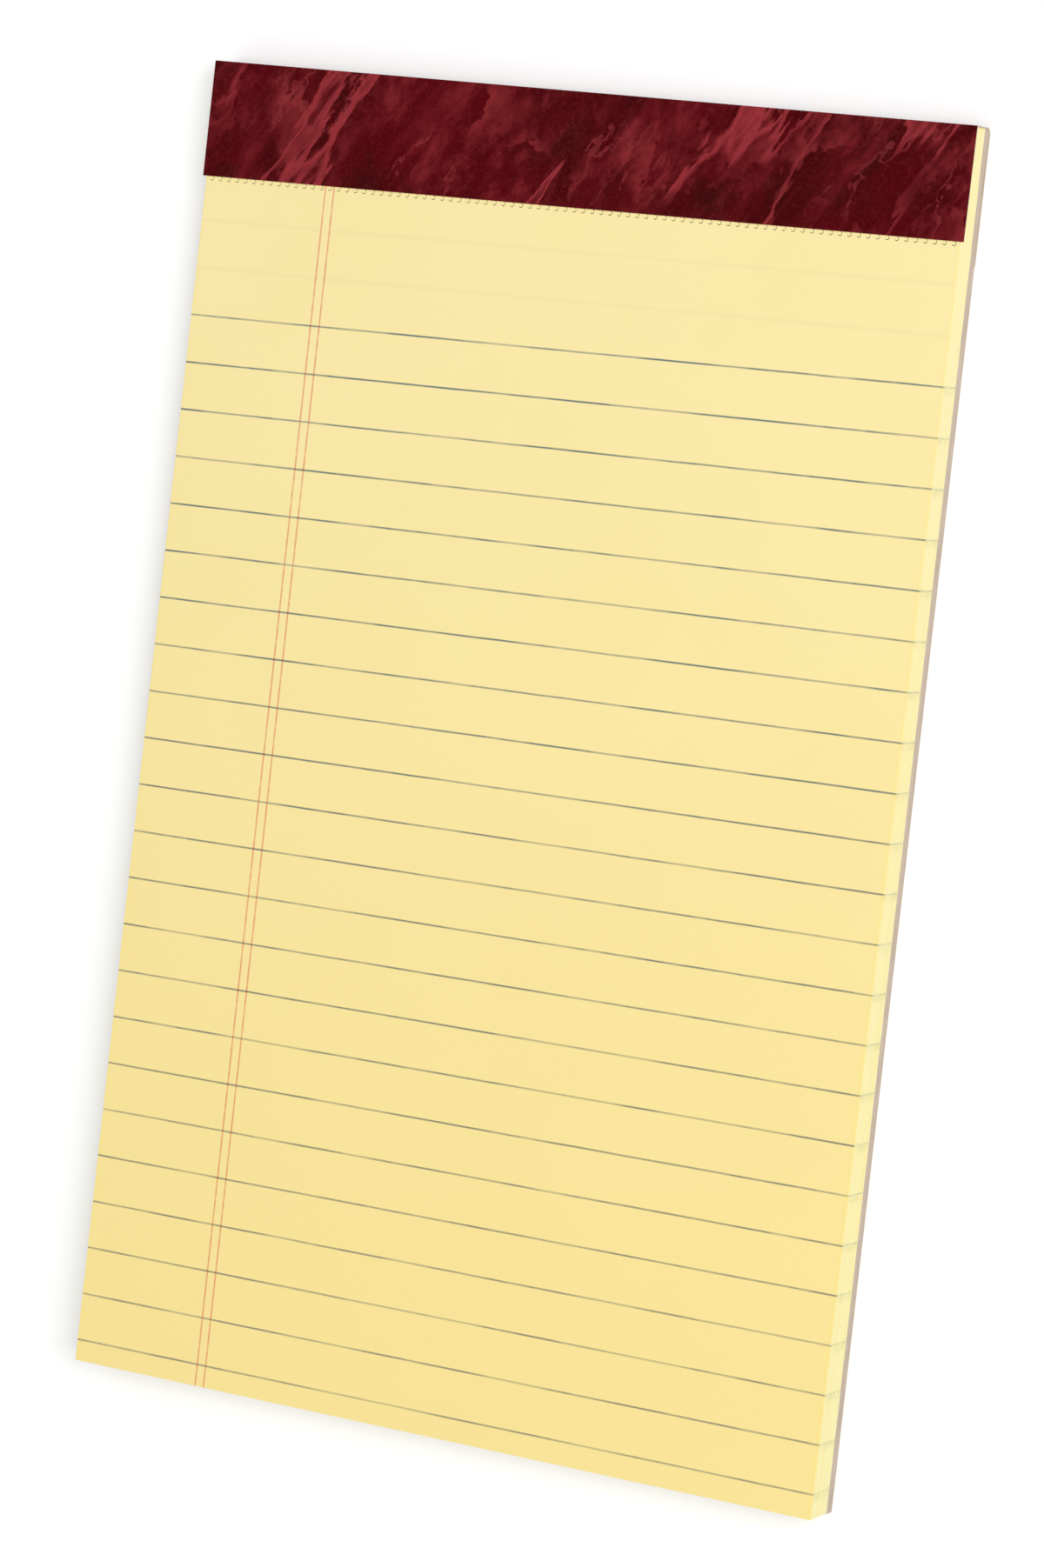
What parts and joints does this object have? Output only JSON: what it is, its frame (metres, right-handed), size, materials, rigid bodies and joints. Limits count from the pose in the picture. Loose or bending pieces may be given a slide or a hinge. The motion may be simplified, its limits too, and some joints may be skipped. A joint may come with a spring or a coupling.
{
  "type": "legal pad",
  "caption": "Small ruled legal pad: yellow sheets stitched to a chipboard back, perforated below a dark red marbled tape folded over the head.",
  "frame": {"origin": "middle of the bottom of the pad's box, on the surface the pad lies on", "axes": "+X to the reader's right, +Y towards the bound head, +Z out of the writing face"},
  "size_m": [0.1276, 0.2032, 0.0079],
  "materials": {
    "chipboard": "matte grey-brown chipboard",
    "ruled_paper": "matte uncoated yellow writing paper",
    "marbled_tape": "satin dark red marbled binding paper",
    "stitch_wire": "galvanised flat stitching wire"
  },
  "bodies": {
    "root": {"backing_board": "chipboard", "page_block": "ruled_paper", "binding_strip": "marbled_tape", "stitch_left": "stitch_wire", "stitch_right": "stitch_wire"}
  },
  "joints": []
}
